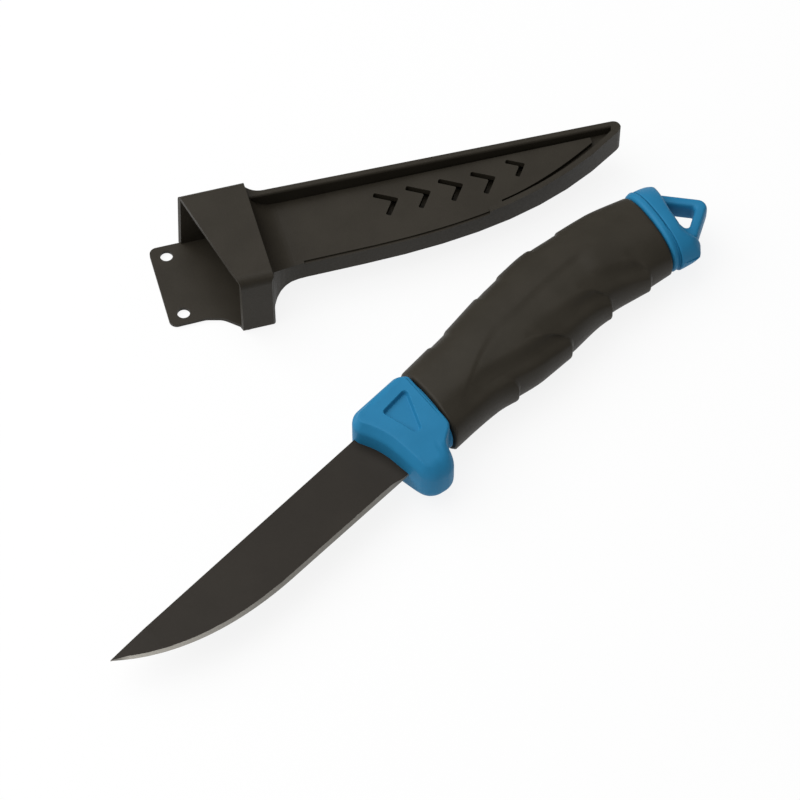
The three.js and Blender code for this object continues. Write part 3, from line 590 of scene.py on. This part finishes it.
# %% [markdown]
# ## Outlines with rounded corners
# Guard and pommel are easiest to see from above: a flat outline with rounded corners, and a height that falls
# away towards the outline. The next helpers draw such outlines, measure the distance of any point to them,
# and turn a height function over an outline into a closed lump with an upper and a lower face.

# %% Outline helpers
ARC_POINTS = 24
RING_POWER = 1.25


def sides_at(points):
    """Unit directions from each corner of a closed outline to the corner before it and the one after it."""
    before = np.roll(points, 1, axis=0) - points
    after = np.roll(points, -1, axis=0) - points
    before /= np.linalg.norm(before, axis=1, keepdims=True)
    after /= np.linalg.norm(after, axis=1, keepdims=True)
    return before, after


def rounded_outline(corners, count):
    """Replaces each corner (x, y, radius) by the arc that touches both sides, then spaces points evenly."""
    xy, radius = np.array(corners, float)[:, :2], np.array(corners, float)[:, 2]
    before, after = sides_at(xy)
    half = np.arccos(np.clip((before * after).sum(axis=1), -1, 1)) / 2
    middle = before + after
    reach = (radius / np.sin(half))[:, None]
    middle = xy + middle / np.linalg.norm(middle, axis=1, keepdims=True) * reach
    start = xy + before * (radius / np.tan(half))[:, None] - middle
    end = xy + after * (radius / np.tan(half))[:, None] - middle
    first = np.arctan2(start[:, 1], start[:, 0])
    sweep = (np.arctan2(end[:, 1], end[:, 0]) - first + np.pi) % (2 * np.pi) - np.pi
    turn = first[:, None] + sweep[:, None] * np.linspace(0, 1, ARC_POINTS)
    points = middle[:, None] + radius[:, None, None] * np.stack([np.cos(turn), np.sin(turn)], axis=-1)
    points = points.reshape(-1, 2)
    loop = np.vstack([points, points[:1]])
    length = np.concatenate([[0], np.cumsum(np.linalg.norm(np.diff(loop, axis=0), axis=1))])
    even = np.linspace(0, length[-1], count, endpoint=False)
    return np.stack([np.interp(even, length, loop[:, 0]), np.interp(even, length, loop[:, 1])], axis=1)


def distance_to(points, outline):
    """Shortest distance from each point to a closed outline, with a plus sign inside it."""
    flat = points.reshape(-1, 1, 2)
    a, b = outline[None], np.roll(outline, -1, axis=0)[None]
    along = np.clip(((flat - a) * (b - a)).sum(-1) / ((b - a) ** 2).sum(-1), 0, 1)
    nearest = np.sqrt((((flat - a) - along[..., None] * (b - a)) ** 2).sum(-1)).min(axis=1)
    crosses = (a[..., 1] > flat[..., 1]) != (b[..., 1] > flat[..., 1])
    rise = np.where(b[..., 1] == a[..., 1], 1e-12, b[..., 1] - a[..., 1])
    hit = flat[..., 0] < a[..., 0] + (flat[..., 1] - a[..., 1]) / rise * (b[..., 0] - a[..., 0])
    inside = (crosses & hit).sum(axis=1) % 2 == 1
    return np.where(inside, nearest, -nearest).reshape(points.shape[:-1])


def lump(outline, middle, rings, height):
    """Rings shrink from the outline to a middle point; each point stands at plus and minus its height."""
    grow = 1 - np.linspace(0, 1, rings) ** RING_POWER
    plan = np.array(middle) + grow[:, None, None] * (outline - np.array(middle))
    z = height(plan)
    upper = from_knife(plan[::-1, :, 0], plan[::-1, :, 1], z[::-1])
    lower = from_knife(plan[..., 0], plan[..., 1], -z)
    return np.concatenate([upper, lower])


def edge_round(distance, width, fall):
    """How far a surface lies below its full height near an outline: a quarter ellipse."""
    t = 1 - np.clip(distance / width, 0, 1)
    return fall * (1 - np.sqrt(1 - t**2))


# %% [markdown]
# ## The finger guard
# The blue moulding starts as a thick finger guard with well rounded edges, thins towards the rounded lobe
# under the blade, and carries a shallow triangular recess.

# %% Guard heights
GUARD_TOP, GUARD_DROP, GUARD_HALF, RECESS_DEPTH = 3.4, 29.2, 9.6, 1.4
CHAMFER_WIDTH, CHAMFER_FALL, COLLAR_WIDTH, COLLAR_STEP = 1.9, 3.2, 1.2, 0.35
GUARD_CORNERS = [
    (-2, 0.4, 4.0), (1.9, GUARD_TOP, 5), (22.98, GUARD_TOP, 3.7), (18.24, -20.3, 3.7), (12.9, -23.3, 2.4),
    (11.4, -GUARD_DROP - 1.4, 5), (0.6, -GUARD_DROP + 0.9, 5.4), (1.3, -8.5, 24),
]
GUARD_MIDDLE = (11.5, -9.5)
GUARD_OUTLINE_POINTS, GUARD_RINGS = 400, 110
RECESS_CORNERS = [(7.5, -3.5, 0.9), (18.1, -2.8, 0.9), (9.25, -18.2, 1.4)]
LOBE_FROM, LOBE_TAPER = 0.8 * BLADE_WIDTH, 2.4
MOULDING_SHARP = 40.0
guard_outline = rounded_outline(GUARD_CORNERS, GUARD_OUTLINE_POINTS)
recess_outline = rounded_outline(RECESS_CORNERS, 150)


def chamfer(distance, width, fall):
    """A flat slope down to an outline, softened where it starts, with a small round at its foot."""
    t = 1 - distance / width
    return fall * (t + np.sqrt(t**2 + 0.008)) / 2 + edge_round(distance, 0.5, 0.6)


def guard_height(plan):
    """Even half thickness, thinner towards the lobe, less the recess and a different edge on every side.

    The front has a steep chamfer that leaves a ridge, the rear a low collar step, the lobe a full round, and
    the spine side a round of its own.
    """
    x, y = plan[..., 0], plan[..., 1]
    edge = distance_to(plan, guard_outline)
    taper = np.clip(-(y + LOBE_FROM) / (GUARD_DROP + 2 - LOBE_FROM), -0.4, 1)
    full = GUARD_HALF - LOBE_TAPER * (taper + np.sqrt(taper**2 + 0.04)) / 2
    lobe = smooth_step(-18, -25, y)
    behind = x - FRONT_SLANT * (y - SLANT_HEIGHT)
    rear = smooth_step(11, 14, behind) * smooth_step(-28.5, -22.5, y) * smooth_step(3, -0.5, y)
    front = smooth_step(8, 5, x) * smooth_step(-28, -21, y) * smooth_step(3.2, 1.2, y)
    round_edge = edge_round(edge, 3.6 + lobe, 3.6 + (full - 6.2) * lobe)
    step = smooth_step(COLLAR_WIDTH + 0.2, COLLAR_WIDTH - 0.2, edge)
    collar = COLLAR_STEP * step * smooth_step(-18, -12, y) + edge_round(edge, 0.8, 1.0)
    fall = round_edge + (collar - round_edge) * rear
    fall = fall + (chamfer(edge, CHAMFER_WIDTH, CHAMFER_FALL) - fall) * front
    recess = RECESS_DEPTH * smooth_step(-0.4, 0.4, distance_to(plan, recess_outline))
    return full - fall - recess


guard_points = lump(guard_outline, GUARD_MIDDLE, GUARD_RINGS, guard_height)
guard_half = guard_points[..., 2].max() * 1000 - knife_at[2]
print("guard half thickness at most:", round(float(guard_half), 2))

# %% [markdown]
# ## Collar, sleeve and rear ring
# Behind the guard the collar, the sleeve under the rubber and the rear ring are ovals of the handle. A path
# of places and insets from the oval draws them in one go. Guard and ovals are one moulding, so they become
# one piece. Behind the ring a groove marks the joint of the cap; it fades out on the finger side.

# %% Collar, sleeve and ring
SLEEVE_INSET, SLEEVE_ROWS = 3.3, 22
RING_LENGTH = 2.5
GROOVE_INSET, GROOVE_FILL = 0.6, 0.75
ring_end = grip_end + RING_LENGTH
collar_path = [
    (GRIP_START - 5, 9.0), (GRIP_START - 5, 3.8), (GRIP_START - 0.9, 1.4), (GRIP_START - 0.7, 1.3),
    (GRIP_START - 0.1, 1.3), (GRIP_START, 1.45), (GRIP_START, SLEEVE_INSET),
]
sleeve_line = GRIP_START + GRIP_LENGTH * np.linspace(0, 1, SLEEVE_ROWS + 2)[1:-1, None]
ring_path = [
    (grip_end - 0.02, SLEEVE_INSET), (grip_end, 0.9), (grip_end + 0.1, 0.4), (grip_end + 0.35, 0.0),
    (grip_end + 0.75, -0.25), (grip_end + 1.2, -0.3), (ring_end - 0.45, -0.3), (ring_end - 0.15, -0.18),
    (ring_end, 0.2), (ring_end + 0.02, GROOVE_INSET), (ring_end + 0.6, GROOVE_INSET), (ring_end + 0.6, 5.0),
    (ring_end + 3, 5.0), (ring_end + 3, 8.0),
]
sleeve_path = np.hstack([sleeve_line, np.full_like(sleeve_line, SLEEVE_INSET)])
core_path = np.vstack([collar_path, sleeve_path, ring_path])
groove = (core_path[:, :1] >= ring_end) & (core_path[:, 1:] <= GROOVE_INSET)
core_inset = core_path[:, 1:] - GROOVE_FILL * groove * smooth_step(105, 130, angle_turn)
core_points = handle_surface(core_path[:, :1], core_inset, angle)
put_piece(
    "handle_moulding", *two_grids(guard_points, core_points), "knife", "handle_core", "handle_plastic",
    blue_plastic, MOULDING_SHARP,
)

# %% [markdown]
# ## The pommel cap
# The cap carries the handle's oval on as a dome, cut from behind by a wide hollow that leaves two lugs. Its
# outline is drawn from above like the guard's. The lanyard loop between the lugs is a triangular ring: a
# window outline, the same outline moved outwards by the width of the bar, and a superellipse that joins the
# two.

# %% Pommel cap
CAP_TOP, CAP_BOTTOM, CAP_HALF, CAP_LENGTH = -0.8, -29.5, 9.1, 11.0
CAP_MIDDLE = (118.5, -17.0)
CAP_OUTLINE_POINTS, CAP_RINGS = 360, 100
REAR_SLANT = 0.3
FRONT_SHIFT = 12.0
LOOP_BAR, LOOP_HALF, LOOP_POWER = 3.5, 3.5, 3.6
WINDOW_CORNERS = [(131.34, -19.65), (124.67, -9.68), (123.2, -23.5)]
WINDOW_RADIUS, FRAME_RADIUS, LOOP_POINTS = 1.2, 2.8, 240
cap_front = ring_end + 0.25


def cap_corners(front_shift):
    """The cap seen from above; a shifted front keeps the front face out of the edge rounding."""
    return [
        (122.46 - front_shift, -0.8, 0.3), (126.58, -2.4, 1.2), (128.5, -5.6, 1.5), (121.86, -17.7, 14),
        (120.9, -23.4, 4), (123.4, -28.4, 2.2), (119.4, -31.9, 2.6), (113.85 - front_shift, -29.5, 0.3),
    ]


cap_outline = rounded_outline(cap_corners(0.0), CAP_OUTLINE_POINTS)
cap_rear = rounded_outline(cap_corners(FRONT_SHIFT), CAP_OUTLINE_POINTS)


def cap_height(plan):
    """A dome on the handle's oval, less a soft round along the rear outline and a tight one at the front."""
    x, y = plan[..., 0], plan[..., 1]
    along = np.clip(x - cap_front - REAR_SLANT * (y - SLANT_HEIGHT), 0, CAP_LENGTH)
    top, bottom = CAP_TOP - 0.34 * along, CAP_BOTTOM - 0.3 * along
    up = np.clip(np.abs((2 * y - top - bottom) / (top - bottom)), 0, 1)
    dome = CAP_HALF * np.sqrt(1 - (along / (CAP_LENGTH + 1)) ** 2)
    full = dome * (1 - up**SECTION_POWER) ** (1 / SECTION_POWER)
    lug = smooth_step(-18, -27, y)
    soft_fall = np.minimum(1.3, 0.3 * full) + 0.55 * full * lug
    soft = edge_round(distance_to(plan, cap_rear), 1.3 + 2.2 * lug, soft_fall)
    tight = edge_round(along, 0.35, np.minimum(0.35, 0.1 * full))
    return full - soft - tight


def moved_out(corners, width):
    """Corner points of an outline whose sides are moved outwards by a width."""
    points = np.array(corners, float)
    before, after = sides_at(points)
    turn = np.abs(before[:, 0] * after[:, 1] - before[:, 1] * after[:, 0])
    return points - (before + after) * (width / turn)[:, None]


def loop_line(corners, radius):
    """A three-cornered outline with one radius at every corner."""
    return rounded_outline(np.hstack([corners, np.full((3, 1), radius)]), LOOP_POINTS)


window_line = loop_line(WINDOW_CORNERS, WINDOW_RADIUS)
frame_line = loop_line(moved_out(WINDOW_CORNERS, LOOP_BAR), FRAME_RADIUS)
bar_angle = np.linspace(0, 2 * np.pi, 40, endpoint=False)[:, None]
across, high = oval_point(0.5, LOOP_HALF, bar_angle, LOOP_POWER)
bar = window_line + (across + 0.5)[..., None] * (frame_line - window_line)
loop_points = from_knife(bar[..., 0], bar[..., 1], high)
cap_points = lump(cap_outline, CAP_MIDDLE, CAP_RINGS, cap_height)
put_piece(
    "pommel_cap", *two_grids(cap_points, loop_points, wrap_other=True), "knife", "end_cap",
    "handle_plastic", blue_plastic, MOULDING_SHARP,
)

# %% [markdown]
# ## The sheath
# Hood, housing, slot and chevrons come from cuts between solids, which the construction model already does
# exactly. A copy of the node is merged into one skin, its flat areas become whole faces, and a small bevel
# gives every edge the soft radius that a moulding has. Two things are finished on the copy: the
# groove beside the low rim opens towards the tip, and at the tip the two rims end at one height.

# %% Sheath
RIM_ROUND, EDGE_ROUND, ROUND_SEGMENTS = 0.001, 0.0003, 3
PANEL_HEIGHT, PANEL_MARGIN, GROOVE_DEPTH = 15.3, 3.0, 1.5
GROOVE_FROM, GROOVE_TO, GROOVE_OPENS = 76.5, 109.3, 1.3
TIP_FROM, TIP_HEIGHT = 115.0, 17.1
HOUSING_BELLY = ((116.9, -0.4), (93.05, -16.5), (66.21, -21.7), (29.82, -21.7))
SLACK, HEIGHT_SLACK = 0.2, 0.05
SKIN_MERGE, FLAT_DEGREES, SHEATH_SHARP = 2e-6, 1.0, 32.0
FACING, RIM_LENGTH = 0.95, 0.03


def finish_by_hand(points):
    """Moves the panel's edge away from the low rim, ever more to the tip, and levels the rims there."""
    board = to_sheath(points)
    along, height = board[:, 0], board[:, 2]
    belly = bezier(*HOUSING_BELLY, np.linspace(0, 1, 300))
    margin = np.sqrt(((board[:, None, :2] - belly) ** 2).sum(axis=-1)).min(axis=1)
    on_edge = (np.abs(margin - PANEL_MARGIN) < SLACK) & (along > GROOVE_FROM) & (along < GROOVE_TO + SLACK)
    on_edge &= np.abs(height - PANEL_HEIGHT + GROOVE_DEPTH / 2) < GROOVE_DEPTH / 2 + HEIGHT_SLACK
    board[:, 1] += GROOVE_OPENS * smooth_step(GROOVE_FROM, GROOVE_TO, along) * on_edge
    board[:, 2] = np.where((along > TIP_FROM) & (height > TIP_HEIGHT - SLACK), TIP_HEIGHT, height)
    print("groove points moved:", int(on_edge.sum()))
    return from_sheath(board[:, 0], board[:, 1], board[:, 2])


def rounding(piece, name, width, limit):
    """A Bevel modifier on weighted edges, or on every edge sharper than the sheath's sharp angle."""
    modifier = piece.modifiers.new(name, "BEVEL")
    modifier.width = width
    modifier.segments = ROUND_SEGMENTS
    modifier.limit_method = limit
    modifier.angle_limit = np.radians(SHEATH_SHARP)


sheath_mesh = nodes["sheath"].data.copy()
places = np.empty(3 * len(sheath_mesh.vertices))
sheath_mesh.vertices.foreach_get("co", places)
sheath_mesh.vertices.foreach_set("co", finish_by_hand(places.reshape(-1, 3)).ravel())
skin = bmesh.new()
skin.from_mesh(sheath_mesh)
bmesh.ops.remove_doubles(skin, verts=skin.verts, dist=SKIN_MERGE)
bmesh.ops.dissolve_limit(skin, angle_limit=np.radians(FLAT_DEGREES), verts=skin.verts, edges=skin.edges)
skin.normal_update()
inwards = Vector((TURN_SIN, -TURN_COS, 0))
along_sheath = Vector((TURN_COS, TURN_SIN, 0))
round_weight = skin.edges.layers.float.new("bevel_weight_edge")
for side in skin.edges:
    normals = [face.normal for face in side.link_faces]
    upward = max(normal.z for normal in normals)
    inward = max(normal.dot(inwards) for normal in normals)
    length = abs((side.verts[1].co - side.verts[0].co).dot(along_sheath))
    on_rim = upward > FACING and inward > FACING and length > RIM_LENGTH
    side[round_weight] = 1.0 if on_rim and side.is_convex else 0.0
print("rounded rim edges:", sum(side[round_weight] > 0 for side in skin.edges))
skin.to_mesh(sheath_mesh)
skin.free()
sheath = finish_piece(
    "sheath_moulding", sheath_mesh, "sheath", "sheath", black_plastic, SHEATH_SHARP
)
rounding(sheath, "rim_round", RIM_ROUND, "WEIGHT")
rounding(sheath, "edge_radius", EDGE_ROUND, "ANGLE")
weighted = sheath.modifiers.new("flat_faces", "WEIGHTED_NORMAL")
weighted.keep_sharp = True

# %% [markdown]
# ## The table
# The photograph is a catalogue picture on a luminous white table. The table shows mostly its own white to the
# camera, so that only a faint shadow is left under the pieces, and its glow brightens the walls that face
# down to it.

# %% Stage
TABLE_REACH, TABLE_LEVEL = 3.0, -0.0002
TABLE_GLOW, TABLE_SHOWN = 0.65, 0.87
TABLE_TONE, TABLE_ROUGHNESS, TABLE_SPECULAR = 0.88, 0.9, 0.1
corners = np.array([[-1, -1], [1, -1], [1, 1], [-1, 1]]) * TABLE_REACH
floor_mesh = bpy.data.meshes.new("table")
floor_mesh.from_pydata(np.hstack([corners, np.full((4, 1), TABLE_LEVEL)]).tolist(), [], [[0, 1, 2, 3]])
floor = bpy.data.objects.new("table", floor_mesh)
bpy.context.scene.collection.objects.link(floor)


def seen_share(tree):
    """1 where a ray comes from the camera or a mirror or glass, and 0 for the rays that light the object."""
    rays = tree.nodes.new("ShaderNodeLightPath").outputs
    seen = math_node(tree, "MAXIMUM", rays["Is Camera Ray"], rays["Is Glossy Ray"])
    return math_node(tree, "MAXIMUM", seen, rays["Is Transmission Ray"])


table_white, tree, shader = new_material("table_white")
shader.inputs["Base Color"].default_value = (TABLE_TONE, TABLE_TONE, TABLE_TONE, 1.0)
shader.inputs["Roughness"].default_value = TABLE_ROUGHNESS
shader.inputs["Specular IOR Level"].default_value = TABLE_SPECULAR
glow = tree.nodes.new("ShaderNodeEmission")
blend = tree.nodes.new("ShaderNodeMixShader")
tree.links.new(ramp(tree, seen_share(tree), 0.0, 1.0, TABLE_GLOW, TABLE_SHOWN), blend.inputs["Fac"])
tree.links.new(shader.outputs["BSDF"], blend.inputs[1])
tree.links.new(glow.outputs["Emission"], blend.inputs[2])
tree.links.new(blend.outputs["Shader"], tree.nodes["Material Output"].inputs["Surface"])
floor_mesh.materials.append(table_white)
print("table half width in metres:", TABLE_REACH)

# %% [markdown]
# ## The light
# One big soft light hangs overhead, behind the pieces and to their left. A weak white world fills the rest.

# %% Light
WORLD_STRENGTH = 0.22
LIGHT_PLACE, LIGHT_SIZE, LIGHT_POWER = Vector((-0.35, 0.55, 1.15)), 1.9, 30.0
world = bpy.data.worlds.new("studio")
bpy.context.scene.world = world
world.use_nodes = True
sky = world.node_tree.nodes["Background"]
sky.inputs["Color"].default_value = (1.0, 1.0, 1.0, 1.0)
sky.inputs["Strength"].default_value = WORLD_STRENGTH
light_data = bpy.data.lights.new("overhead", "AREA")
light_data.size = LIGHT_SIZE
light_data.energy = LIGHT_POWER
light = bpy.data.objects.new("overhead", light_data)
light.location = LIGHT_PLACE
light.rotation_euler = (-LIGHT_PLACE).to_track_quat("-Z", "Y").to_euler()
bpy.context.scene.collection.objects.link(light)
bpy.context.scene.view_settings.view_transform = "Standard"
print("light power in watts:", LIGHT_POWER)
